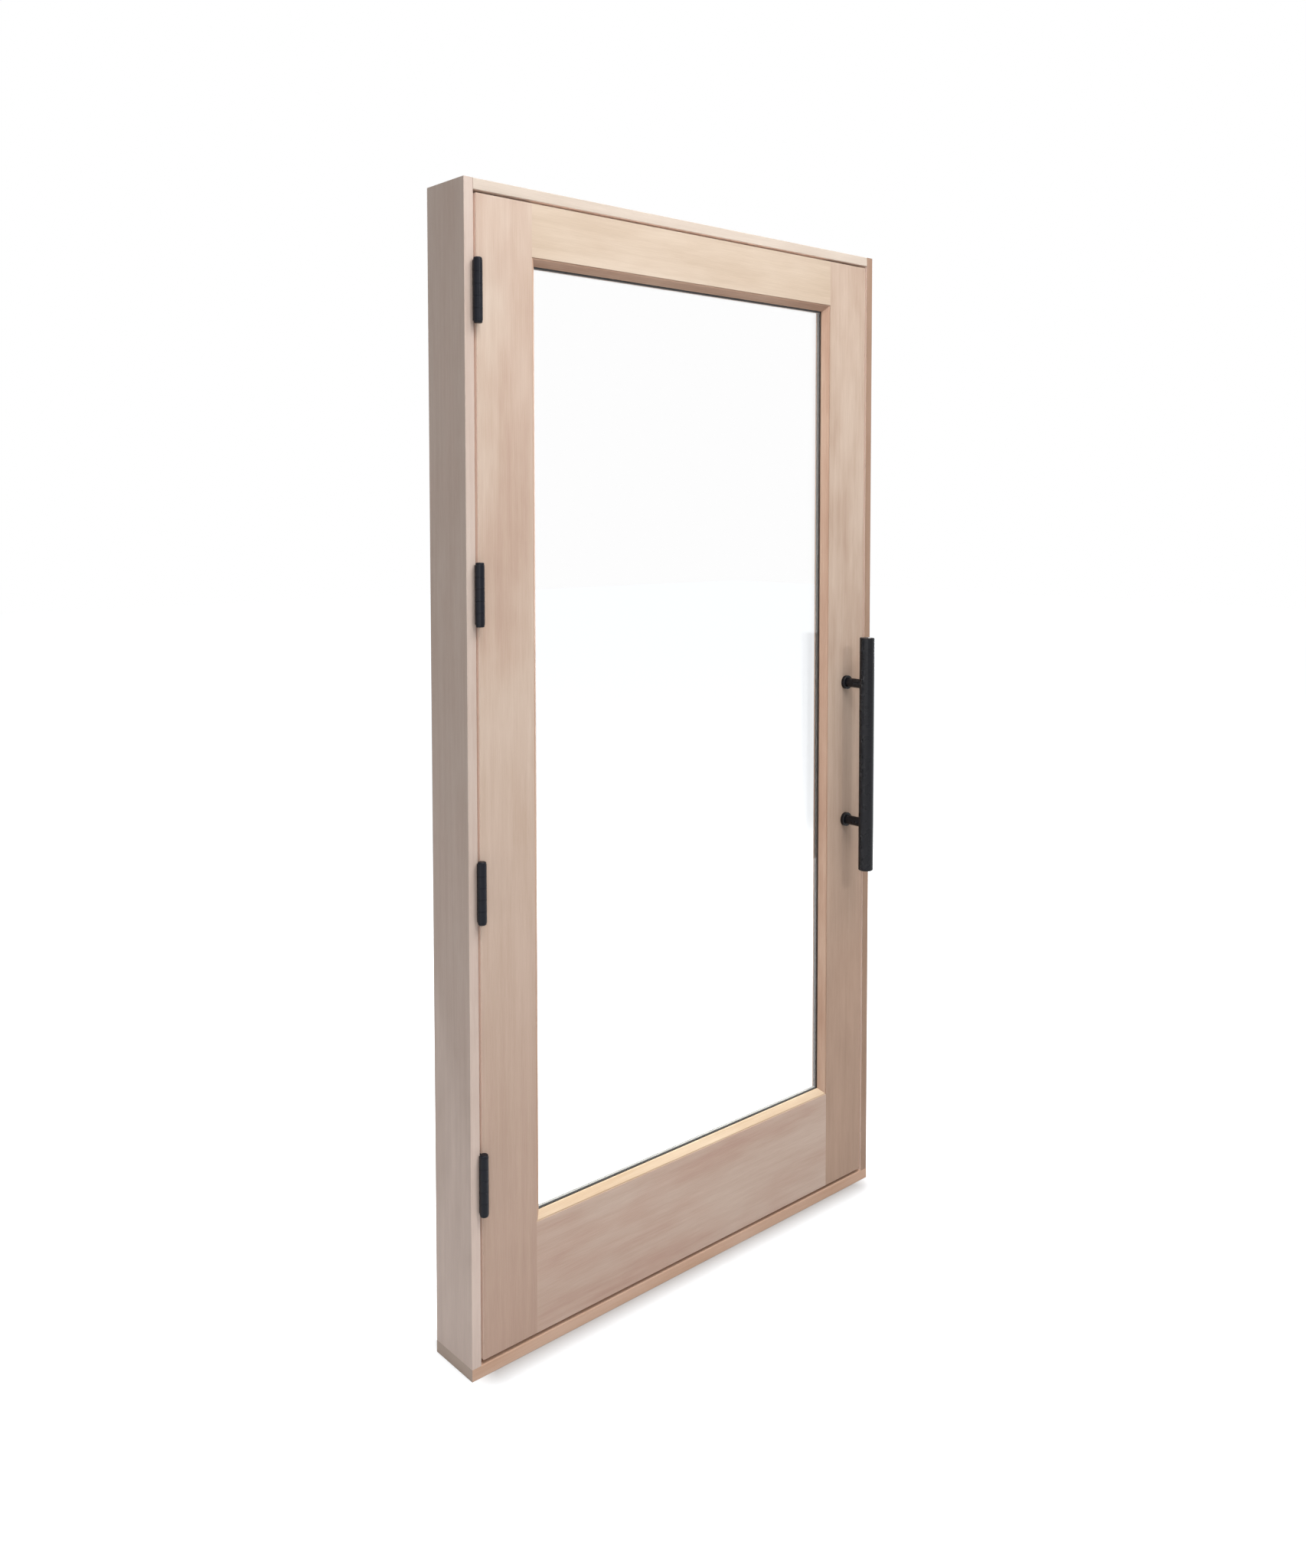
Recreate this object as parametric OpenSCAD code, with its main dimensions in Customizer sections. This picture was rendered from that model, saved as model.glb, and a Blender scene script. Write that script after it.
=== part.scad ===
// Glazed wooden sauna door, hung in its own frame on four butt hinges, with a
// tubular pull on the lock stile. Millimetres, +Z up, front (pull side) towards -Y.
// The origin is at the centre of the sill's underside.

/* [Frame] */
// Overall width of the frame
frame_w = 1067; // [900:1:1250]
// Overall height of the frame, sill included
frame_h = 2083; // [1950:1:2300]
// Depth of the jambs, head and sill, front to back
frame_d = 116; // [104:1:180]
// Thickness of the jamb and head boards
board_t = 19; // [16:0.5:28]
// Thickness of the sill board
sill_t = 22; // [18:0.5:35]
// Thickness of the door stops, across the opening
stop_t = 13; // [9:0.5:18]
// Width of the door stops, front to back
stop_d = 38; // [25:1:45]
// Rounding of the long edges of the boards
edge_r = 1.2; // [0.6:0.1:2]

/* [Door leaf] */
// Thickness of the leaf
door_t = 44.5; // [42:0.5:54]
// Running gap between the leaf and each jamb
side_gap = 5; // [5:0.25:7]
// Running gap between the leaf and the head
head_gap = 5; // [5:0.25:9]
// Open gap under the leaf, which lets air in
floor_gap = 8; // [6:0.5:20]
// Clearance between the leaf's back and the stops
stop_gap = 5; // [5:0.25:8]
// Width of each stile
stile_w = 116; // [95:1:150]
// Height of the top rail
top_rail_h = 93; // [80:1:150]
// Height of the bottom rail
bottom_rail_h = 206; // [150:1:300]
// How far the lock edge's back is planed away, so that it clears the jamb as it swings
lock_bevel = 2.4; // [1.6:0.1:4]
// Length of the tenons on the rails
tenon_l = 60; // [30:1:80]
// Thickness of the tenons
tenon_t = 14; // [10:0.5:16]
// Shoulder above and below each tenon
tenon_shoulder = 14; // [8:1:24]
// Room for glue round a tenon
glue_gap = 0.2; // [0.1:0.05:0.5]

/* [Glazing] */
// Thickness of one pane
pane_t = 4; // [3:0.5:5]
// Air space between the two panes
air_t = 6; // [5:0.5:9]
// Room between the edge of the glass and the wood
glass_margin = 3; // [2:0.5:5]
// Width of the dark edge seal between the panes
seal_w = 13.5; // [12:0.5:16]
// Width of a glazing bead, from the wood towards the glass
bead_w = 13; // [11:0.5:15]
// How far a bead's face lies behind the face of the leaf
bead_setback = 1.5; // [0.8:0.1:2.5]
// Radius of the two rounded edges of a bead's sloped face
bead_r = 1.6; // [1:0.2:2.4]
// Height of the straight edge of a bead against the glass
bead_edge = 2; // [1:0.5:4]

/* [Hinges] */
// Height of the hinge leaves
hinge_h = 101.6; // [89:0.1:127]
// How far a hinge leaf runs into the depth of the door
leaf_w = 35; // [28:0.5:38]
// Thickness of a hinge leaf
leaf_t = 2.5; // [2:0.1:3]
// Diameter of the hinge barrel
barrel_d = 16; // [14:0.5:18]
// Diameter of the hinge pin
pin_d = 8; // [6:0.5:9]
// Running clearance of the pin in its bore, on the radius
pin_clearance = 0.05; // [0.02:0.01:0.1]
// Running gap between neighbouring knuckles
knuckle_gap = 0.4; // [0.3:0.05:0.8]
// Gap between the barrel and the face of the door
barrel_gap = 0.5; // [0.3:0.1:2]
// Height of the rounded tips of the pin
tip_h = 4.5; // [3:0.5:7]
// Diameter of a screw hole at the back of a hinge leaf
screw_hole_d = 5; // [4:0.5:6]
// Diameter of its countersink at the leaf's face
screw_head_d = 9.6; // [8:0.2:11]
// Top of the leaf to the top of the uppermost hinge
hinge_drop = 114; // [90:1:200]
// Bottom of the leaf to the bottom of the lowest hinge
hinge_rise = 268; // [150:1:320]

/* [Pull] */
// Length of the bar
pull_l = 510; // [350:1:650]
// Diameter of the bar
pull_d = 32; // [24:0.5:38]
// Distance between the two posts
post_span = 305; // [200:1:320]
// Face of the leaf to the axis of the bar
pull_reach = 60; // [52:1:80]
// Height of the pull's middle above the underside of the sill
pull_z = 995; // [900:1:1100]
// Diameter of a post's neck
post_d = 20; // [14:0.5:22]
// Diameter of the round foot of a post
foot_d = 30; // [24:0.5:40]
// Thickness of the round foot of a post
foot_t = 8; // [5:0.5:12]
// Diameter of the cap over each fixing on the inside
cap_d = 24; // [16:0.5:30]
// Thickness of those caps
cap_t = 3; // [2:0.5:4]
// Bevel on the ends of the bar and on the feet and caps
metal_bevel = 1.2; // [0.5:0.1:1.4]

/* [Hidden] */

$fn = 48;

// Colours
wood_pale = [0.87, 0.79, 0.72];
wood_warm = [0.80, 0.70, 0.63];
wood_bead = [0.84, 0.71, 0.60];
black_metal = [0.17, 0.17, 0.18];
seal_grey = [0.38, 0.35, 0.33];
clear_glass = [0.86, 0.93, 0.93, 0.35];

// Frame: half widths, front and back planes
half_w = frame_w / 2;
jamb_x = half_w - board_t;
front_y = -frame_d / 2;
back_y = frame_d / 2;
head_z = frame_h - board_t;

// Leaf: its box
leaf_x = jamb_x - side_gap;
leaf_back_y = front_y + door_t;
leaf_z0 = sill_t + floor_gap;
leaf_z1 = head_z - head_gap;

// Stops
stop_y = leaf_back_y + stop_gap;

// Lite: the opening between stiles and rails
lite_x = leaf_x - stile_w;
lite_z0 = leaf_z0 + bottom_rail_h;
lite_z1 = leaf_z1 - top_rail_h;
bead_d = (door_t - 2 * pane_t - air_t) / 2;

// Tenons
tenon_y = front_y + (door_t - tenon_t) / 2;

// Hinges: the pin's axis, and the lowest point of each pair of hinge leaves
barrel_r = barrel_d / 2;
pin_x = -jamb_x + side_gap / 2;
pin_y = front_y - barrel_r - barrel_gap;
knuckles = 5;
knuckle_h = (hinge_h - (knuckles - 1) * knuckle_gap) / knuckles;
hinge_last = 3;
hinge_low_z = leaf_z0 + hinge_rise;
hinge_high_z = leaf_z1 - hinge_drop - hinge_h;
function hinge_z(i) = hinge_high_z - i * (hinge_high_z - hinge_low_z) / hinge_last;
tip_r = barrel_r - 0.6;
screws = 4;
function screw_row(k) = leaf_w * (k % 2 == 0 ? 0.4 : 0.7);

// Pull: the middle of the lock stile
pull_x = leaf_x - stile_w / 2;
bar_y = front_y - pull_reach;

// A closed outline whose listed corners are rounded by radius r
function unit(v) = v / norm(v);
function to_prev(pts, i) = unit(pts[(i + len(pts) - 1) % len(pts)] - pts[i]);
function to_next(pts, i) = unit(pts[(i + 1) % len(pts)] - pts[i]);
function half_angle(pts, i) = acos(to_prev(pts, i) * to_next(pts, i)) / 2;
function is_round(corners, i) = len(search(i, corners)) > 0;
module eased(pts, corners, r) {
    polygon([
        for (i = [0 : len(pts) - 1])
            let (cut = r / tan(half_angle(pts, i)))
            each is_round(corners, i)
                ? [pts[i] + cut * to_prev(pts, i), pts[i] + cut * to_next(pts, i)]
                : [pts[i]]
    ]);
    for (i = corners)
        translate(pts[i] + unit(to_prev(pts, i) + to_next(pts, i)) * r / sin(half_angle(pts, i)))
            circle(r);
}

// The corners of a rectangle, anticlockwise from the lowest
function box_outline(x0, y0, x1, y1) = [[x0, y0], [x1, y0], [x1, y1], [x0, y1]];

// An upright board with the given outline in plan
module upright(z0, z1) {
    translate([0, 0, z0])
        linear_extrude(z1 - z0)
            children();
}

// A board lying along X, with the given outline across it (first axis Y, second axis Z)
module crosswise(x0, x1) {
    translate([x0, 0, 0])
        rotate([90, 0, 90])
            linear_extrude(x1 - x0)
                children();
}

// Frame boards

module sill() {
    color(wood_warm)
        crosswise(-half_w, half_w)
            eased(box_outline(front_y, 0, back_y, sill_t), [0, 1, 2, 3], edge_r);
}

// Pockets for one leaf of every hinge, from the plane x inwards by the leaf's thickness
module leaf_pockets(x) {
    for (i = [0 : hinge_last])
        translate([x, front_y - 1, hinge_z(i)])
            cube([leaf_t, leaf_w + 1, hinge_h]);
}

module hinge_jamb() {
    color(wood_pale)
        difference() {
            upright(sill_t, frame_h)
                eased(box_outline(-half_w, front_y, -jamb_x, back_y), [0, 1, 2, 3], edge_r);
            leaf_pockets(-jamb_x - leaf_t);
        }
}

module strike_jamb() {
    color(wood_warm)
        upright(sill_t, frame_h)
            eased(box_outline(jamb_x, front_y, half_w, back_y), [0, 1, 2, 3], edge_r);
}

module head_jamb() {
    color(wood_pale)
        crosswise(-jamb_x, jamb_x)
            eased(box_outline(front_y, head_z, back_y, frame_h), [0, 1, 2, 3], edge_r);
}

module hinge_stop() {
    color(wood_pale)
        upright(sill_t, head_z)
            eased(box_outline(-jamb_x, stop_y, -jamb_x + stop_t, stop_y + stop_d), [1, 2], edge_r);
}

module strike_stop() {
    color(wood_pale)
        upright(sill_t, head_z)
            eased(box_outline(jamb_x - stop_t, stop_y, jamb_x, stop_y + stop_d), [0, 3], edge_r);
}

module head_stop() {
    color(wood_pale)
        crosswise(-jamb_x + stop_t, jamb_x - stop_t)
            eased(box_outline(stop_y, head_z - stop_t, stop_y + stop_d, head_z), [0, 1], edge_r);
}

// Hinges

module knuckle(i) {
    translate([pin_x, pin_y, i * (knuckle_h + knuckle_gap)])
        cylinder(h = knuckle_h, r = barrel_r);
}

// Countersunk screw holes in two rows, open towards the gap between the hinge's leaves
module screw_holes(side) {
    slope = (screw_head_d - screw_hole_d) / 2 / leaf_t;
    for (k = [0 : screws - 1])
        translate([pin_x + side * side_gap / 2, front_y + screw_row(k), hinge_h * (k + 0.5) / screws])
            rotate([0, side * 90, 0])
                translate([0, 0, -0.1])
                    cylinder(
                        h = leaf_t + 0.2,
                        r1 = screw_head_d / 2 + 0.1 * slope,
                        r2 = screw_hole_d / 2 - 0.1 * slope
                    );
}

// One leaf of a hinge: side -1 is let into the jamb, side 1 into the leaf of the door
module hinge_leaf(side, own_knuckles) {
    near_x = side_gap / 2;
    difference() {
        union() {
            translate([pin_x + (side < 0 ? -near_x - leaf_t : near_x), front_y, 0])
                cube([leaf_t, leaf_w, hinge_h]);
            for (k = own_knuckles) {
                knuckle(k);
                translate([pin_x + (side < 0 ? -near_x - leaf_t : near_x), pin_y, k * (knuckle_h + knuckle_gap)])
                    cube([leaf_t, front_y - pin_y, knuckle_h]);
            }
        }
        translate([pin_x, pin_y, -1])
            cylinder(h = hinge_h + 2, r = pin_d / 2 + pin_clearance);
        screw_holes(side);
    }
}

module frame_leaf(i) {
    color(black_metal)
        translate([0, 0, hinge_z(i)])
            hinge_leaf(-1, [0 : 2 : knuckles - 1]);
}

module door_leaf(i) {
    color(black_metal)
        translate([0, 0, hinge_z(i)])
            hinge_leaf(1, [1 : 2 : knuckles - 1]);
}

// Outline of half a pin, with a domed tip above and below the barrel
module pin_outline() {
    square([pin_d / 2, hinge_h]);
    for (z = [-tip_h, hinge_h])
        translate([0, z])
            square([tip_r - tip_h / 2, tip_h]);
    translate([0, -tip_h / 2])
        square([tip_r, tip_h / 2]);
    translate([0, hinge_h])
        square([tip_r, tip_h / 2]);
    for (z = [-tip_h / 2, hinge_h + tip_h / 2])
        translate([tip_r - tip_h / 2, z])
            circle(tip_h / 2);
}

module hinge_pin(i) {
    color(black_metal)
        translate([pin_x, pin_y, hinge_z(i)])
            rotate_extrude()
                pin_outline();
}

// Door leaf: stiles and rails

// A rail's tenon at each end, grown by the given room on every side
module tenons(z0, z1, room) {
    for (side = [-1, 1])
        translate([
            side < 0 ? -lite_x - tenon_l - room : lite_x - room,
            tenon_y - room,
            z0 + tenon_shoulder - room
        ])
            cube([tenon_l + 2 * room, tenon_t + 2 * room, z1 - z0 - 2 * tenon_shoulder + 2 * room]);
}

module mortises() {
    tenons(leaf_z0, lite_z0, glue_gap);
    tenons(lite_z1, leaf_z1, glue_gap);
}

module hinge_stile() {
    color(wood_pale)
        difference() {
            upright(leaf_z0, leaf_z1)
                eased(box_outline(-leaf_x, front_y, -lite_x, leaf_back_y), [0, 3], edge_r);
            leaf_pockets(-leaf_x);
            mortises();
        }
}

module lock_stile() {
    color(wood_pale)
        difference() {
            upright(leaf_z0, leaf_z1)
                eased([
                    [lite_x, front_y], [leaf_x, front_y],
                    [leaf_x - lock_bevel, leaf_back_y], [lite_x, leaf_back_y]
                ], [1, 2], edge_r);
            mortises();
        }
}

module rail(z0, z1) {
    crosswise(-lite_x, lite_x)
        polygon(box_outline(front_y, z0, leaf_back_y, z1));
    intersection() {
        tenons(z0, z1, 0);
        translate([-leaf_x, front_y, z0])
            cube([2 * leaf_x, door_t, z1 - z0]);
    }
}

module top_rail() {
    color(wood_pale)
        rail(lite_z1, leaf_z1);
}

module bottom_rail() {
    color(wood_warm)
        rail(leaf_z0, lite_z0);
}

// Glazing

module pane(y) {
    translate([-lite_x + glass_margin, y, lite_z0 + glass_margin])
        cube([2 * (lite_x - glass_margin), pane_t, lite_z1 - lite_z0 - 2 * glass_margin]);
}

module outer_pane() {
    color(clear_glass)
        pane(front_y + bead_d);
}

module inner_pane() {
    color(clear_glass)
        pane(leaf_back_y - bead_d - pane_t);
}

module edge_seal() {
    inset = glass_margin + seal_w;
    color(seal_grey)
        difference() {
            translate([-lite_x + glass_margin, front_y + bead_d + pane_t, lite_z0 + glass_margin])
                cube([2 * (lite_x - glass_margin), air_t, lite_z1 - lite_z0 - 2 * glass_margin]);
            translate([-lite_x + inset, front_y + bead_d, lite_z0 + inset])
                cube([2 * (lite_x - inset), 2 * pane_t + air_t, lite_z1 - lite_z0 - 2 * inset]);
        }
}

// Outline across a bead: x runs from the wood to the glass, y from the face into the leaf
module bead_outline() {
    near = [bead_r + 0.4, bead_setback + bead_r];
    far = [bead_w - bead_r, bead_d - bead_edge];
    run = (far - near) / norm(far - near);
    out = bead_r * [run[1], -run[0]];
    polygon([
        [0, bead_setback], [near[0], bead_setback], near + out, far + out,
        [bead_w, far[1]], [bead_w, bead_d], [0, bead_d]
    ]);
    translate(near)
        circle(bead_r);
    translate(far)
        circle(bead_r);
}

// A bead standing along Z on its wood edge, with mitred ends
module bead(l) {
    intersection() {
        linear_extrude(l)
            bead_outline();
        rotate([90, 0, 0])
            translate([0, 0, -bead_d])
                linear_extrude(bead_d)
                    polygon([[0, 0], [bead_w, bead_w], [bead_w, l - bead_w], [0, l]]);
    }
}

// The four beads of one face, drawn for the front face
module bead_left() {
    color(wood_bead)
        translate([-lite_x, 0, lite_z0])
            bead(lite_z1 - lite_z0);
}

module bead_right() {
    mirror([1, 0, 0])
        bead_left();
}

module bead_bottom() {
    color(wood_bead)
        translate([-lite_x, 0, lite_z0])
            mirror([1, 0, -1])
                bead(2 * lite_x);
}

module bead_top() {
    translate([0, 0, lite_z0 + lite_z1])
        mirror([0, 0, 1])
            bead_bottom();
}

module on_front() {
    translate([0, front_y, 0])
        children();
}

module on_back() {
    translate([0, leaf_back_y, 0])
        mirror([0, 1, 0])
            children();
}

// Pull: a round bar on two posts, with a plain cap over each fixing on the inside

module pull_bar() {
    color(black_metal)
        translate([pull_x, bar_y, pull_z - pull_l / 2])
            rotate_extrude()
                polygon([
                    [0, 0], [pull_d / 2 - metal_bevel, 0], [pull_d / 2, metal_bevel],
                    [pull_d / 2, pull_l - metal_bevel], [pull_d / 2 - metal_bevel, pull_l], [0, pull_l]
                ]);
}

module pull_post(z) {
    color(black_metal)
        difference() {
            translate([pull_x, front_y, z])
                rotate([90, 0, 0])
                    rotate_extrude()
                        polygon([
                            [0, 0], [foot_d / 2, 0], [foot_d / 2, foot_t - metal_bevel],
                            [foot_d / 2 - metal_bevel, foot_t], [post_d / 2, foot_t],
                            [post_d / 2, pull_reach], [0, pull_reach]
                        ]);
            translate([pull_x, bar_y, z - foot_d])
                cylinder(h = 2 * foot_d, r = pull_d / 2);
        }
}

module pull_cap(z) {
    color(black_metal)
        translate([pull_x, leaf_back_y, z])
            rotate([-90, 0, 0])
                rotate_extrude()
                    polygon([
                        [0, 0], [cap_d / 2, 0], [cap_d / 2, cap_t - metal_bevel],
                        [cap_d / 2 - metal_bevel, cap_t], [0, cap_t]
                    ]);
}

sill();
hinge_jamb();
strike_jamb();
head_jamb();
hinge_stop();
strike_stop();
head_stop();
frame_leaf(0);  // frame_leaf_top
frame_leaf(1);  // frame_leaf_upper
frame_leaf(2);  // frame_leaf_lower
frame_leaf(3);  // frame_leaf_bottom
hinge_pin(0);  // hinge_pin_top
hinge_pin(1);  // hinge_pin_upper
hinge_pin(2);  // hinge_pin_lower
hinge_pin(3);  // hinge_pin_bottom
door_leaf(0);  // door_leaf_top
door_leaf(1);  // door_leaf_upper
door_leaf(2);  // door_leaf_lower
door_leaf(3);  // door_leaf_bottom
hinge_stile();
lock_stile();
top_rail();
bottom_rail();
outer_pane();
inner_pane();
edge_seal();
on_front() bead_left();  // outer_bead_left
on_front() bead_right();  // outer_bead_right
on_front() bead_top();  // outer_bead_top
on_front() bead_bottom();  // outer_bead_bottom
on_back() bead_left();  // inner_bead_left
on_back() bead_right();  // inner_bead_right
on_back() bead_top();  // inner_bead_top
on_back() bead_bottom();  // inner_bead_bottom
pull_bar();
pull_post(pull_z + post_span / 2);  // pull_post_top
pull_post(pull_z - post_span / 2);  // pull_post_bottom
pull_cap(pull_z + post_span / 2);  // pull_cap_top
pull_cap(pull_z - post_span / 2);  // pull_cap_bottom
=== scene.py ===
"""Looks of a glazed sauna door in its frame: wood, glass, black hardware, studio and camera."""
import math

import bpy
from mathutils import Matrix, Vector


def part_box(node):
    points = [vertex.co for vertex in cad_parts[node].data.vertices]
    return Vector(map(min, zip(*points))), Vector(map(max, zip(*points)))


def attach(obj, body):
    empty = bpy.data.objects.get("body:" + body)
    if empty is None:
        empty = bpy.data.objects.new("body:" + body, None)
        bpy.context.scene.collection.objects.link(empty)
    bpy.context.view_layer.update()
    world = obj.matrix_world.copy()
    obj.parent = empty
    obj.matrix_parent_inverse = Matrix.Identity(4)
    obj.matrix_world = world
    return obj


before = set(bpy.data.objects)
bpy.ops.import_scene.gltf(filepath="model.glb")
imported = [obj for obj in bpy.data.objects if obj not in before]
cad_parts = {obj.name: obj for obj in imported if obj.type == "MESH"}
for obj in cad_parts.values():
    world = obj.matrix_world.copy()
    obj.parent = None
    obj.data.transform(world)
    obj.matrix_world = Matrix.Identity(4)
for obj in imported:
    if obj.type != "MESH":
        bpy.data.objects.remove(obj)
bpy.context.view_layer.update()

MM = 0.001
scene = bpy.context.scene

# Places taken from the frame
sill_lo, sill_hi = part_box("sill")
_, jamb_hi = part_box("hinge_jamb")
stile_lo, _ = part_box("hinge_stile")
FRONT_CORNER = Vector((sill_lo.x, sill_lo.y, sill_lo.z))
HINGES = ("top", "upper", "lower", "bottom")
SIDES = ("left", "right", "top", "bottom")

# Camera: the photograph's viewpoint, worked out from the frame's corners in a 1706 x 2048 picture
PHOTO_W = 1706
PHOTO_H = 2048
SENSOR = 36.0
FOCAL_PX = 1717.5
CENTRE_X_PX = 882.5
CENTRE_Y_PX = 755.2
CAMERA_FROM_CORNER = Vector((-1231.6, -1892.2, 1513.9)) * MM
YAW_RIGHT = math.radians(42.107)
PITCH_DOWN = math.radians(2.714)
NEAREST = 0.05
FARTHEST = 60.0


def make_camera():
    data = bpy.data.cameras.new("photo_camera")
    data.sensor_fit = "AUTO"
    data.sensor_width = SENSOR
    data.lens = FOCAL_PX * SENSOR / PHOTO_H
    data.shift_x = (PHOTO_W / 2 - CENTRE_X_PX) / PHOTO_H
    data.shift_y = (CENTRE_Y_PX - PHOTO_H / 2) / PHOTO_H
    data.clip_start = NEAREST
    data.clip_end = FARTHEST
    camera = bpy.data.objects.new("photo_camera", data)
    scene.collection.objects.link(camera)
    camera.location = FRONT_CORNER + CAMERA_FROM_CORNER
    camera.rotation_euler = (math.radians(90) - PITCH_DOWN, 0, -YAW_RIGHT)
    scene.camera = camera


def deselect():
    bpy.ops.object.select_all(action="DESELECT")


# Materials

def linear(hex_colour):
    """An sRGB hex colour as linear red, green, blue and alpha."""
    parts = [int(hex_colour[i:i + 2], 16) / 255 for i in (1, 3, 5)]
    return [c / 12.92 if c <= 0.04045 else ((c + 0.055) / 1.055) ** 2.4 for c in parts] + [1.0]


def add(tree, kind, values=None, links=None, **settings):
    """A new node with its settings, its sockets' values and the sockets that feed it."""
    made = tree.nodes.new(kind)
    for name, value in settings.items():
        setattr(made, name, value)
    for socket, value in (values or {}).items():
        made.inputs[socket].default_value = value
    for socket, source in (links or {}).items():
        tree.links.new(source, made.inputs[socket])
    return made


def new_material(name):
    """An empty node material and its tree."""
    made = bpy.data.materials.new(name)
    made.use_nodes = True
    made.node_tree.nodes.clear()
    return made, made.node_tree


def give(node_name, made):
    """Puts one material on a CAD node."""
    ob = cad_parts[node_name]
    for slot in ob.material_slots:
        slot.material = made
    if not ob.material_slots:
        ob.data.materials.append(made)


# Nearly all of a noise lies between these two values
NOISE_LOW, NOISE_HIGH = 0.3, 0.7

# Clear softwood, such as hemlock, planed and sanded, left unfinished: pale and pinkish, matt,
# with fine straight growth rings, soft streaks along the board and a little mottling.
# The sizes are across the board. Along it each pattern is longer, by one over its stretch.
# Real pores are too fine to show in the render, so the fibres are drawn 0.9 mm wide.
RING_MM = 2.6
SWAY_MM = 120.0
STREAK_MM = 11.0
FIBRE_MM = 0.9
MOTTLE_MM = 55.0
PATCH_MM = 210.0
RING_STRETCH = 0.02
STREAK_STRETCH = 0.035
FIBRE_STRETCH = 0.03
PATCH_STRETCH = 0.3
PATCH_SHIFT = 1.7

# A wave texture of scale 1 has one ring in 2 pi / 20 of its units
RING_SCALE = 2 * math.pi / 20 / RING_MM
RING_START = 31.7
RING_SWAY = 34.0
RING_WARP = 2.2

# How strongly each pattern darkens the wood, and the range from all earlywood to all latewood
RINGS_WHERE = (0.4, 0.7)
RINGS_SHOWN = (0.07, 0.25)
WEIGHTS = {"streaks": 0.54, "fibres": 0.40, "mottle": 0.62}
TONE_RANGE = (0.52, 1.20)

# The flush of colour, in soft patches and towards the foot of some boards; at the hinge jamb's foot it is
# painted bounce light
FLUSH_RANGE = (0.66, 0.92)
FLUSH_MOST = 0.4
FLUSH_MOTTLE = 0.5
FLUSH_EARLY = 1.09
FLUSH_LATE = 0.84
WANDER_MM = 500.0

# A face counts as an end or as a gap face painted paler when its normal lies this close to the named
# direction
FACING_RANGE = (0.8, 0.95)
END_GRAIN = "#BBAA9E"
END_SHARE = 0.85
# Faces inside the gap round the leaf are painted paler: painted light that lifts the shade deep in the gap
GAP_PAINTED_LIGHT = "#F6E0D2"
GAP_PAINTED_LIGHT_SHARE = 0.95

# The relief of the grain and the sheen of the planed face
GRAIN_DEPTH = 0.12 * MM
GRAIN_BUMP = 0.3
RING_RELIEF = 0.5
WOOD_ROUGH = (0.52, 0.66)

# Which way the grain runs: turns that bring a board's length to Z
ALONG_Z = (0.0, 0.0, 0.0)
ALONG_X = (0.0, math.radians(-90), 0.0)

# A board with no flush of colour at its foot
NO_FOOT = (0.0, 0.0, 0.0)


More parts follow.
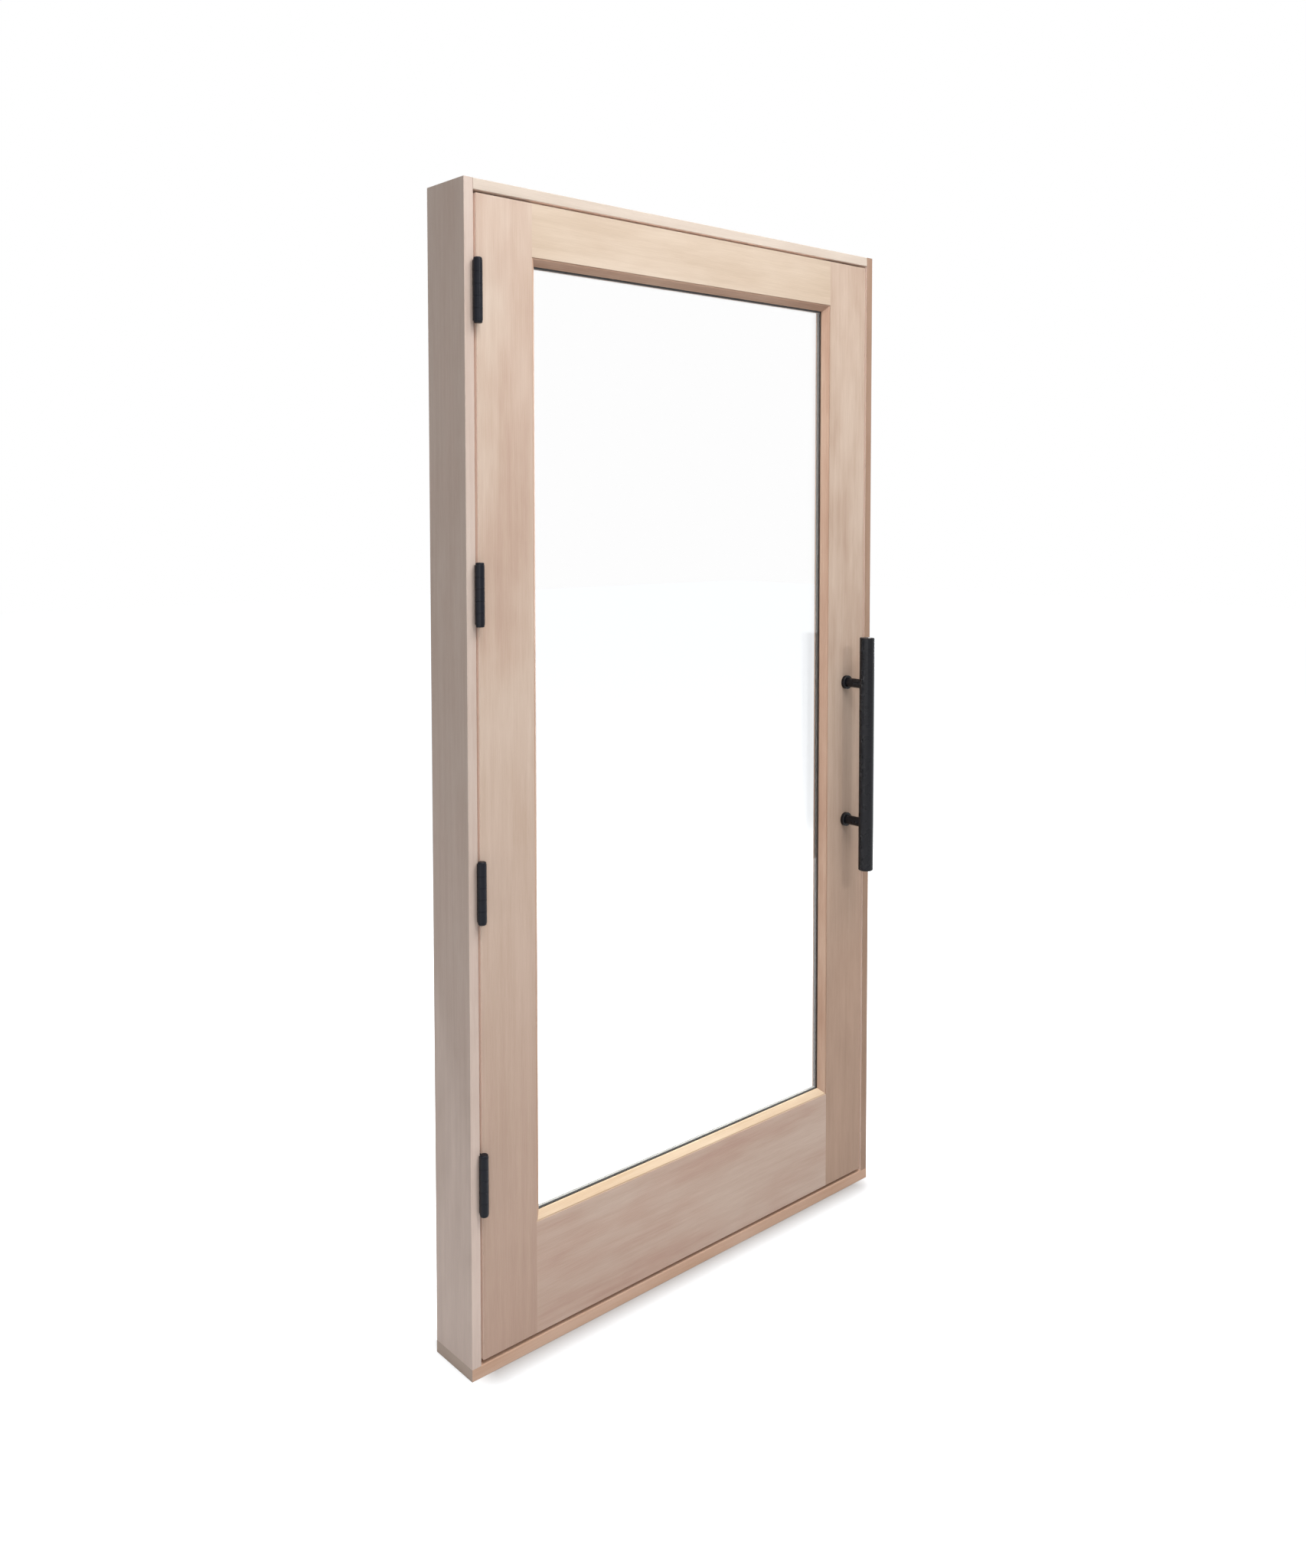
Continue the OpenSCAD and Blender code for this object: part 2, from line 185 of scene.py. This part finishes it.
def softwood(name, turn, heart, early, late, blush, foot=NO_FOOT, painted_light_face=None):
    """Wood with its growth rings round a heart line, which lies heart = (x, y) mm from the origin.
    The ends of the board are greyer, because end grain takes in more light. foot = (high, low, most) lets
    the flush of colour grow from 0 at high to most at low, in mm along the board. The last argument is the
    direction of the face that lies inside the gap round the leaf, which is painted paler: painted light
    against the shade in the gap."""
    made, tree = new_material(name)
    coordinates = add(tree, "ShaderNodeTexCoord")
    board = add(
        tree, "ShaderNodeMapping", {"Rotation": turn, "Scale": (1000, 1000, 1000)},
        {"Vector": coordinates.outputs["Object"]},
    ).outputs[0]

    # Each pattern: its size, how far it is pressed together along the board, its detail and its shift
    x, y = heart
    patterns = {
        "sway": (SWAY_MM, RING_STRETCH, 1.0, (x, y, RING_START)),
        "streaks": (STREAK_MM, STREAK_STRETCH, 3.0, (y, x, x)),
        "fibres": (FIBRE_MM, FIBRE_STRETCH, 2.0, (y, 0.0, x)),
        "mottle": (MOTTLE_MM, PATCH_STRETCH, 2.0, (x, y, y)),
        "patches": (PATCH_MM, PATCH_STRETCH, 1.0, (y, x, PATCH_SHIFT * y)),
    }
    places = {}
    shades = {}
    for pattern, (size_mm, stretch, detail, shift) in patterns.items():
        places[pattern] = add(
            tree, "ShaderNodeMapping", {"Location": shift, "Scale": (1, 1, stretch)}, {"Vector": board},
        ).outputs[0]
        shades[pattern] = add(
            tree, "ShaderNodeTexNoise", {"Scale": 1 / size_mm, "Detail": detail, "Roughness": 0.55},
            {"Vector": places[pattern]},
        ).outputs["Fac"]

    sway = add(
        tree, "ShaderNodeMath", {1: RING_SWAY}, {0: shades["sway"]}, operation="MULTIPLY",
    ).outputs[0]
    rings = add(
        tree, "ShaderNodeTexWave",
        {"Scale": RING_SCALE, "Distortion": RING_WARP, "Detail": 2.0, "Detail Scale": 0.2,
         "Detail Roughness": 0.6},
        {"Vector": places["sway"], "Phase Offset": sway},
        wave_type="RINGS", rings_direction="Z", wave_profile="SAW",
    ).outputs["Fac"]

    # The growth rings show strongly only in some places, as on a real planed board
    shown = add(
        tree, "ShaderNodeMapRange",
        {"From Min": RINGS_WHERE[0], "From Max": RINGS_WHERE[1],
         "To Min": RINGS_SHOWN[0], "To Max": RINGS_SHOWN[1]},
        {"Value": shades["patches"]},
    ).outputs[0]
    tone = add(tree, "ShaderNodeMath", links={0: rings, 1: shown}, operation="MULTIPLY").outputs[0]
    for pattern, weight in WEIGHTS.items():
        tone = add(
            tree, "ShaderNodeMath", {1: weight}, {0: shades[pattern], 2: tone}, operation="MULTIPLY_ADD",
        ).outputs[0]
    toned = add(
        tree, "ShaderNodeMapRange",
        {"From Min": TONE_RANGE[0], "From Max": TONE_RANGE[1], "To Min": 0.0, "To Max": 1.0},
        {"Value": tone},
    ).outputs[0]
    wood = add(
        tree, "ShaderNodeMix", {6: linear(early), 7: linear(late)}, {0: toned},
        data_type="RGBA", clamp_factor=True,
    ).outputs[2]

    # Where the flush of colour lies. Under it the wood keeps its grain
    mottled = add(
        tree, "ShaderNodeMath", {1: FLUSH_MOTTLE}, {0: shades["mottle"], 2: shades["patches"]},
        operation="MULTIPLY_ADD",
    ).outputs[0]
    flush = add(
        tree, "ShaderNodeMapRange",
        {"From Min": FLUSH_RANGE[0], "From Max": FLUSH_RANGE[1], "To Min": 0.0, "To Max": FLUSH_MOST},
        {"Value": mottled},
    ).outputs[0]
    high, low, most = foot
    if most:
        along_board = add(tree, "ShaderNodeSeparateXYZ", links={0: board}).outputs[2]
        wander = add(
            tree, "ShaderNodeMath", {1: WANDER_MM}, {0: shades["mottle"], 2: along_board},
            operation="MULTIPLY_ADD",
        ).outputs[0]
        deeper = add(
            tree, "ShaderNodeMapRange",
            {"From Min": high + WANDER_MM / 2, "From Max": low + WANDER_MM / 2,
             "To Min": 0.0, "To Max": most},
            {"Value": wander},
        ).outputs[0]
        flush = add(tree, "ShaderNodeMath", links={0: flush, 1: deeper}, operation="MAXIMUM").outputs[0]
    deep = linear(blush)[:3]
    flushed = add(
        tree, "ShaderNodeMix",
        {6: [FLUSH_EARLY * c for c in deep] + [1.0], 7: [FLUSH_LATE * c for c in deep] + [1.0]},
        {0: toned}, data_type="RGBA", clamp_factor=True,
    ).outputs[2]
    colour = add(
        tree, "ShaderNodeMix", links={0: flush, 6: wood, 7: flushed},
        data_type="RGBA", clamp_factor=True,
    ).outputs[2]

    # The board's two ends, and the face inside the gap, painted paler as painted light against the gap's
    # shade
    length = (0.0, 0.0, 1.0) if turn == ALONG_Z else (1.0, 0.0, 0.0)
    faces = [(length, END_GRAIN, END_SHARE)]
    if painted_light_face:
        faces.append((painted_light_face, GAP_PAINTED_LIGHT, GAP_PAINTED_LIGHT_SHARE))
    for direction, tint, share in faces:
        facing = add(
            tree, "ShaderNodeVectorMath", {1: direction}, {0: coordinates.outputs["Normal"]},
            operation="DOT_PRODUCT",
        ).outputs["Value"]
        if direction is length:
            facing = add(tree, "ShaderNodeMath", links={0: facing}, operation="ABSOLUTE").outputs[0]
        there = add(
            tree, "ShaderNodeMapRange",
            {"From Min": FACING_RANGE[0], "From Max": FACING_RANGE[1], "To Min": 0.0, "To Max": share},
            {"Value": facing},
        ).outputs[0]
        colour = add(
            tree, "ShaderNodeMix", {7: linear(tint)}, {0: there, 6: colour},
            data_type="RGBA", clamp_factor=True,
        ).outputs[2]

    relief = add(
        tree, "ShaderNodeMath", {1: RING_RELIEF}, {0: rings, 2: shades["fibres"]},
        operation="MULTIPLY_ADD",
    ).outputs[0]
    bump = add(
        tree, "ShaderNodeBump", {"Strength": GRAIN_BUMP, "Distance": GRAIN_DEPTH}, {"Height": relief},
    ).outputs[0]
    rough = add(
        tree, "ShaderNodeMapRange",
        {"From Min": NOISE_LOW, "From Max": NOISE_HIGH, "To Min": WOOD_ROUGH[0], "To Max": WOOD_ROUGH[1]},
        {"Value": shades["fibres"]},
    ).outputs[0]
    shader = add(
        tree, "ShaderNodeBsdfPrincipled", {"IOR": 1.45, "Specular IOR Level": 0.3},
        {"Base Color": colour, "Roughness": rough, "Normal": bump},
    )
    add(tree, "ShaderNodeOutputMaterial", links={"Surface": shader.outputs[0]})
    return made


# Each tone: earlywood, latewood and the flush of colour
HINGE_STILE_TONE = ("#D0BFB0", "#BAA18E", "#B49484")
LOCK_STILE_TONE = ("#CFBCAC", "#B19784", "#AF927F")
BOTTOM_RAIL_TONE = ("#CDB9AB", "#B59989", "#C09A8A")
TOP_RAIL_TONE = ("#D3C2B0", "#BCA792", "#C9B49E")
JAMB_TONE = ("#CCBCB1", "#B69F92", "#C1AC9F")
# The hinge jamb's pale flush also paints bounce light from the floor towards its foot
HINGE_JAMB_TONE = ("#CCBCB1", "#B69F92", "#DECABF")
STRIKE_TONE = ("#AD9281", "#937560", "#A1836F")
HEAD_TONE = ("#D6C9BC", "#C1B1A3", "#CBBDAF")
SILL_TONE = ("#D6B8A4", "#C0997F", "#CBA78F")
BEAD_TONE = ("#C3A692", "#A37F6A", "#B18D78")
# The bottom beads are a paler copy of the bead wood: painted light on the run that faces up to the lamps
BOTTOM_BEAD_PAINTED_LIGHT_TONE = ("#DDC9AF", "#C4A585", "#D0B493")

# Where the flush of colour grows towards a board's foot, and how strong it gets. The stiles grow darker and
# redder towards the foot; the hinge jamb grows paler towards its foot, which is painted bounce light from
# the floor
STILE_FOOT = (1400.0, -300.0, 0.9)
LOCK_FOOT = (1250.0, 500.0, 0.9)
HINGE_JAMB_PAINTED_BOUNCE_FOOT = (900.0, 200.0, 0.75)

# Which way a board's gap face looks; that face is painted paler, painted light against the gap's shade
TO_LEFT = (-1.0, 0.0, 0.0)
TO_RIGHT = (1.0, 0.0, 0.0)
UPWARD = (0.0, 0.0, 1.0)
DOWNWARD = (0.0, 0.0, -1.0)

# Each board: its grain's turn, heart line, tone, foot and the gap face painted paler with painted light
BOARDS = {
    "sill": (ALONG_X, (140, 35), SILL_TONE, NO_FOOT, None),
    "hinge_jamb": (ALONG_Z, (190, 260), HINGE_JAMB_TONE, HINGE_JAMB_PAINTED_BOUNCE_FOOT, TO_RIGHT),
    "strike_jamb": (ALONG_Z, (-230, 170), STRIKE_TONE, NO_FOOT, TO_LEFT),
    "head_jamb": (ALONG_X, (-260, 190), HEAD_TONE, NO_FOOT, DOWNWARD),
    "hinge_stop": (ALONG_Z, (150, 90), JAMB_TONE, NO_FOOT, None),
    "strike_stop": (ALONG_Z, (-120, 210), JAMB_TONE, NO_FOOT, None),
    "head_stop": (ALONG_X, (110, 160), JAMB_TONE, NO_FOOT, None),
    "hinge_stile": (ALONG_Z, (310, 75), HINGE_STILE_TONE, STILE_FOOT, TO_LEFT),
    "lock_stile": (ALONG_Z, (-350, 110), LOCK_STILE_TONE, LOCK_FOOT, TO_RIGHT),
    "top_rail": (ALONG_X, (-1850, 140), TOP_RAIL_TONE, NO_FOOT, UPWARD),
    "bottom_rail": (ALONG_X, (-90, 60), BOTTOM_RAIL_TONE, NO_FOOT, None),
}
BEAD_HEARTS = {"outer": (170, 120), "inner": (240, -95)}


def dress_wood():
    """Each board gets its own piece of wood: its grain along its length and its own heart line."""
    for name, (turn, heart, tone, foot, painted_light_face) in BOARDS.items():
        give(name, softwood(name + "_planed_hemlock", turn, heart, *tone, foot, painted_light_face))
    for face, heart in BEAD_HEARTS.items():
        for side in SIDES:
            bead = f"{face}_bead_{side}"
            turn = ALONG_Z if side in ("left", "right") else ALONG_X
            # The bottom beads take the paler copy, painted light
            tone = BOTTOM_BEAD_PAINTED_LIGHT_TONE if side == "bottom" else BEAD_TONE
            give(bead, softwood(bead + "_planed_hemlock", turn, heart, *tone))


def float_glass():
    """Clear float glass, polished, with next to no tint: mirrors a little, lets lamps through."""
    made, tree = new_material("clear_float_glass")
    pane = add(
        tree, "ShaderNodeBsdfPrincipled",
        {"Base Color": linear("#FEFEFE"), "Roughness": 0.0, "IOR": 1.5, "Transmission Weight": 1.0},
    )
    clear = add(tree, "ShaderNodeBsdfTransparent", {"Color": linear("#FCFDFC")})
    path = add(tree, "ShaderNodeLightPath")
    mixed = add(
        tree, "ShaderNodeMixShader",
        links={0: path.outputs["Is Shadow Ray"], 1: pane.outputs[0], 2: clear.outputs[0]},
    )
    add(tree, "ShaderNodeOutputMaterial", links={"Surface": mixed.outputs[0]})
    return made


# Edge seal: its grit, its dull dark greys, the painted warm bounce light from the bead where it faces down,
# and a paler tone where it faces up
SEAL_GRIT_MM = 10 / 3
SEAL_DARK = "#3B3937"
SEAL_PALE = "#423F3D"
SEAL_FACING = ((-1.0, "#8C756A"), (1.0, "#74736E"))


def edge_seal_grey():
    """The spacer's dull dark face and the sealant round it. The side that faces up is paler, and the side
    that faces down is painted with the warm bounce light of the bead beside it."""
    made, tree = new_material("edge_seal_grey")
    coordinates = add(tree, "ShaderNodeTexCoord")
    grit = add(
        tree, "ShaderNodeTexNoise", {"Scale": 1 / (SEAL_GRIT_MM * MM), "Detail": 2.0},
        {"Vector": coordinates.outputs["Object"]},
    ).outputs["Fac"]
    tone = add(
        tree, "ShaderNodeMix", {6: linear(SEAL_DARK), 7: linear(SEAL_PALE)}, {0: grit},
        data_type="RGBA", clamp_factor=True,
    ).outputs[2]
    # Painted light: the down-facing side gets the bead's warm bounce tint; the up-facing side is made paler
    for facing, taken in SEAL_FACING:
        there = add(
            tree, "ShaderNodeVectorMath", {1: (0.0, 0.0, facing)}, {0: coordinates.outputs["Normal"]},
            operation="DOT_PRODUCT",
        ).outputs["Value"]
        tone = add(
            tree, "ShaderNodeMix", {7: linear(taken)}, {0: there, 6: tone},
            data_type="RGBA", clamp_factor=True,
        ).outputs[2]
    shader = add(tree, "ShaderNodeBsdfPrincipled", {"Roughness": 0.55}, {"Base Color": tone})
    add(tree, "ShaderNodeOutputMaterial", links={"Surface": shader.outputs[0]})
    return made


# Black powder coat: its orange peel, its faint clouds, and how far its sheen varies with them
PEEL_MM = 1.2
PEEL_DEPTH = 0.1 * MM
PEEL_BUMP = 0.03
CLOUD_MM = 18
GLOSSIER = 0.02
DULLER = 0.04


def powder_coat(name, colour, worn, rough, specular):
    """Black powder coat on steel: satin, with a very fine orange-peel skin."""
    made, tree = new_material(name)
    place = add(tree, "ShaderNodeTexCoord").outputs["Object"]
    peel = add(
        tree, "ShaderNodeTexNoise", {"Scale": 1 / (PEEL_MM * MM), "Detail": 1.0}, {"Vector": place},
    ).outputs["Fac"]
    clouds = add(
        tree, "ShaderNodeTexNoise", {"Scale": 1 / (CLOUD_MM * MM), "Detail": 3.0}, {"Vector": place},
    ).outputs["Fac"]
    tone = add(
        tree, "ShaderNodeMix", {6: linear(colour), 7: linear(worn)}, {0: clouds},
        data_type="RGBA", clamp_factor=True,
    ).outputs[2]
    sheen = add(
        tree, "ShaderNodeMapRange",
        {"From Min": NOISE_LOW, "From Max": NOISE_HIGH,
         "To Min": rough - GLOSSIER, "To Max": rough + DULLER},
        {"Value": clouds},
    ).outputs[0]
    bump = add(
        tree, "ShaderNodeBump", {"Strength": PEEL_BUMP, "Distance": PEEL_DEPTH}, {"Height": peel},
    ).outputs[0]
    shader = add(
        tree, "ShaderNodeBsdfPrincipled", {"IOR": 1.5, "Specular IOR Level": specular},
        {"Base Color": tone, "Roughness": sheen, "Normal": bump},
    )
    add(tree, "ShaderNodeOutputMaterial", links={"Surface": shader.outputs[0]})
    return made


def dress_hardware():
    """Black satin powder coat on the hinges, their screws and the pull."""
    hinge_black = powder_coat("hinge_powder_coat", "#0C0E16", "#13151E", rough=0.32, specular=0.18)
    pull_black = powder_coat("pull_powder_coat", "#101014", "#16161A", rough=0.27, specular=0.20)
    for place in HINGES:
        for piece in ("frame_leaf_", "door_leaf_", "hinge_pin_"):
            give(piece + place, hinge_black)
    for piece in ("pull_bar", "pull_post_top", "pull_post_bottom", "pull_cap_top", "pull_cap_bottom"):
        give(piece, pull_black)
    add_hinge_screws(hinge_black)


# Hinge screws: four countersunk heads in each leaf, in the holes of the solids, in two rows
SCREWS = 4
SCREW_ROWS = (0.4, 0.7)
SLOT_TURN = 37
LEAF_DEPTH = 35 * MM
LEAF_THICK = 2.5 * MM
HEAD_R = 4.7 * MM
HEAD_BACK_R = 2.5 * MM
HEAD_SUNK = 0.15 * MM
HEAD_EDGE = 0.15 * MM
HEAD_SIDES = 28
CROSS_LONG = 4.6 * MM
CROSS_WIDE = 1.1 * MM
CROSS_DEEP = 1.5 * MM
CUTTER_PROUD = 1 * MM


def model_screw_head():
    """A flat countersunk head with a cross recess, its top at the origin and facing +Z."""
    deselect()
    depth = LEAF_THICK - HEAD_SUNK
    bpy.ops.mesh.primitive_cone_add(
        vertices=HEAD_SIDES, radius1=HEAD_BACK_R, radius2=HEAD_R, depth=depth, location=(0, 0, -depth / 2),
    )
    head = bpy.context.object
    for turn in (0.0, math.radians(90)):
        deselect()
        bpy.ops.mesh.primitive_cube_add(size=1, location=(0, 0, -CROSS_DEEP / 2 + CUTTER_PROUD / 2))
        cutter = bpy.context.object
        cutter.scale = (CROSS_LONG, CROSS_WIDE, CROSS_DEEP + CUTTER_PROUD)
        cutter.rotation_euler = (0, 0, turn)
        bpy.ops.object.transform_apply(location=True, rotation=True, scale=True)
        cut = head.modifiers.new("cross", "BOOLEAN")
        cut.operation = "DIFFERENCE"
        cut.object = cutter
        deselect()
        head.select_set(True)
        bpy.context.view_layer.objects.active = head
        bpy.ops.object.modifier_apply(modifier=cut.name)
        bpy.data.objects.remove(cutter)
    ease = head.modifiers.new("ease", "BEVEL")
    ease.width = HEAD_EDGE
    ease.segments = 1
    ease.limit_method = "ANGLE"
    bpy.ops.object.modifier_apply(modifier=ease.name)
    bpy.ops.object.transform_apply(location=True, rotation=True, scale=True)
    return head


def add_hinge_screws(made):
    """Copies of one head in every leaf. Each leaf's four are one piece, which rides with the leaf."""
    head = model_screw_head()
    turned = 0
    leaves = (("frame_leaf_", "frame", jamb_hi.x, 1), ("door_leaf_", "door", stile_lo.x, -1))
    for place in HINGES:
        for leaf, body, face_x, facing in leaves:
            lo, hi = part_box(leaf + place)
            copies = []
            for k in range(SCREWS):
                spot = Vector((
                    face_x - facing * HEAD_SUNK,
                    sill_lo.y + LEAF_DEPTH * SCREW_ROWS[k % 2],
                    lo.z + (hi.z - lo.z) * (k + 0.5) / SCREWS,
                ))
                turned += 1
                screw = bpy.data.objects.new(f"screw_{place}_{k}", head.data.copy())
                scene.collection.objects.link(screw)
                spin = Matrix.Rotation(math.radians(SLOT_TURN * turned), 4, "Z")
                tip = Matrix.Rotation(math.radians(90 * facing), 4, "Y")
                screw.data.transform(Matrix.Translation(spot) @ tip @ spin)
                screw.data.materials.append(made)
                copies.append(screw)
            deselect()
            for screw in copies:
                screw.select_set(True)
            bpy.context.view_layer.objects.active = copies[0]
            bpy.ops.object.join()
            joined = bpy.context.object
            joined.name = leaf.replace("leaf_", "screws_") + place
            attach(joined, body)
    bpy.data.objects.remove(head)


def dress_glazing():
    glass = float_glass()
    give("outer_pane", glass)
    give("inner_pane", glass)
    give("edge_seal", edge_seal_grey())


# Studio floor, in metres: matt and pale, and glowing white to the camera; close to the sill the glow drops,
# a painted contact shadow, slightly blue, over the real shade on the matt floor
FLOOR_SIZE = 40.0
FLOOR_PALE = 0.5
SHADOW_REACH = 0.075
GLOW_NEAR = 0.02
GLOW_FAR = 0.95
GLOW_COLOUR = (0.96, 0.98, 1.0, 1.0)
END_IN = 0.05

# World: how strongly it lights the object, and the white that the camera sees
WORLD_LIGHT = 0.18
WHITE = 1.0

# Each lamp: where it stands, what it faces, its width and height, all in metres, and its watts
LAMPS = {
    "overhead_front_softbox": ((0.0, -1.8, 4.0), (0.0, -1.8, 0.0), 3.0, 1.6, 132),
    "back_softbox": ((0.0, 2.6, 2.5), (0.0, 0.0, 1.1), 2.0, 1.2, 45),
    "front_lamp": ((0.15, -3.0, 2.8), (0.2, 0.0, 1.0), 0.4, 0.4, 22),
    "camera_side_fill": ((-2.3, -2.4, 1.5), (-0.3, 0.0, 1.0), 0.7, 1.4, 18),
    "strike_side_fill": ((3.2, 1.7, 1.6), (0.5, 0.0, 1.0), 0.5, 1.6, 45),
    "hinge_side_strip": ((-3.2, -0.75, 0.9), (-0.5, -0.05, 0.9), 0.3, 1.7, 9),
}


def seen_directly(tree):
    """1 for what the camera sees, also through glass and in mirrors, and 0 for what lights the object."""
    path = add(tree, "ShaderNodeLightPath")
    seen = path.outputs["Is Camera Ray"]
    for ray in ("Is Glossy Ray", "Is Transmission Ray"):
        seen = add(
            tree, "ShaderNodeMath", links={0: seen, 1: path.outputs[ray]}, operation="MAXIMUM",
        ).outputs[0]
    return seen


def make_floor():
    """The floor glows less close to the door's foot, a painted contact shadow over the real shade there,
    deeper along the sill than at its ends."""
    deselect()
    bpy.ops.mesh.primitive_plane_add(size=FLOOR_SIZE, location=(0, 0, sill_lo.z))
    floor = bpy.context.object
    floor.name = "studio_floor"
    made, tree = new_material("studio_white_floor")
    matt = add(tree, "ShaderNodeBsdfDiffuse", {"Color": (FLOOR_PALE, FLOOR_PALE, FLOOR_PALE, 1.0)})

    # How far each spot is from the sill
    from_sill = add(tree, "ShaderNodeTexCoord").outputs["Object"]
    steps = (
        ("ABSOLUTE", {}),
        ("SUBTRACT", {1: (sill_hi.x - END_IN, sill_hi.y, 0.0)}),
        ("MAXIMUM", {1: (0.0, 0.0, 0.0)}),
    )
    for operation, values in steps:
        from_sill = add(
            tree, "ShaderNodeVectorMath", values, {0: from_sill}, operation=operation,
        ).outputs["Vector"]
    away = add(tree, "ShaderNodeVectorMath", links={0: from_sill}, operation="LENGTH").outputs["Value"]

    # Painted shadow: the glow falls from GLOW_FAR far off to GLOW_NEAR at the sill
    glow = add(
        tree, "ShaderNodeMapRange",
        {"From Min": 0.0, "From Max": SHADOW_REACH, "To Min": GLOW_NEAR, "To Max": GLOW_FAR},
        {"Value": away},
    ).outputs[0]
    strength = add(
        tree, "ShaderNodeMath", links={0: seen_directly(tree), 1: glow}, operation="MULTIPLY",
    ).outputs[0]
    light = add(tree, "ShaderNodeEmission", {"Color": GLOW_COLOUR}, {"Strength": strength})
    both = add(tree, "ShaderNodeAddShader", links={0: matt.outputs[0], 1: light.outputs[0]})
    add(tree, "ShaderNodeOutputMaterial", links={"Surface": both.outputs[0]})
    floor.data.materials.append(made)


def make_world():
    world = bpy.data.worlds.new("studio")
    scene.world = world
    world.use_nodes = True
    tree = world.node_tree
    tree.nodes.clear()
    level = add(
        tree, "ShaderNodeMapRange", {"To Min": WORLD_LIGHT, "To Max": WHITE}, {"Value": seen_directly(tree)},
    )
    light = add(tree, "ShaderNodeBackground", {"Color": (1, 1, 1, 1)}, {"Strength": level.outputs[0]})
    add(tree, "ShaderNodeOutputWorld", links={"Surface": light.outputs[0]})


def make_lights():
    """A wide softbox overhead in front, a softbox low behind, a small lamp high in front that gives
    the pull its shadow, a fill on the camera's side, another from behind on the strike side, and a
    tall strip on the hinge side that gives the black metal its highlight."""
    for name, (place, target, width, height, watts) in LAMPS.items():
        data = bpy.data.lights.new(name, "AREA")
        data.shape = "RECTANGLE"
        data.size = width
        data.size_y = height
        data.energy = watts
        lamp = bpy.data.objects.new(name, data)
        scene.collection.objects.link(lamp)
        lamp.location = place
        lamp.rotation_euler = (Vector(target) - Vector(place)).to_track_quat("-Z", "Y").to_euler()


make_camera()
make_world()
make_floor()
make_lights()
dress_wood()
dress_hardware()
dress_glazing()
scene.view_settings.view_transform = "Standard"
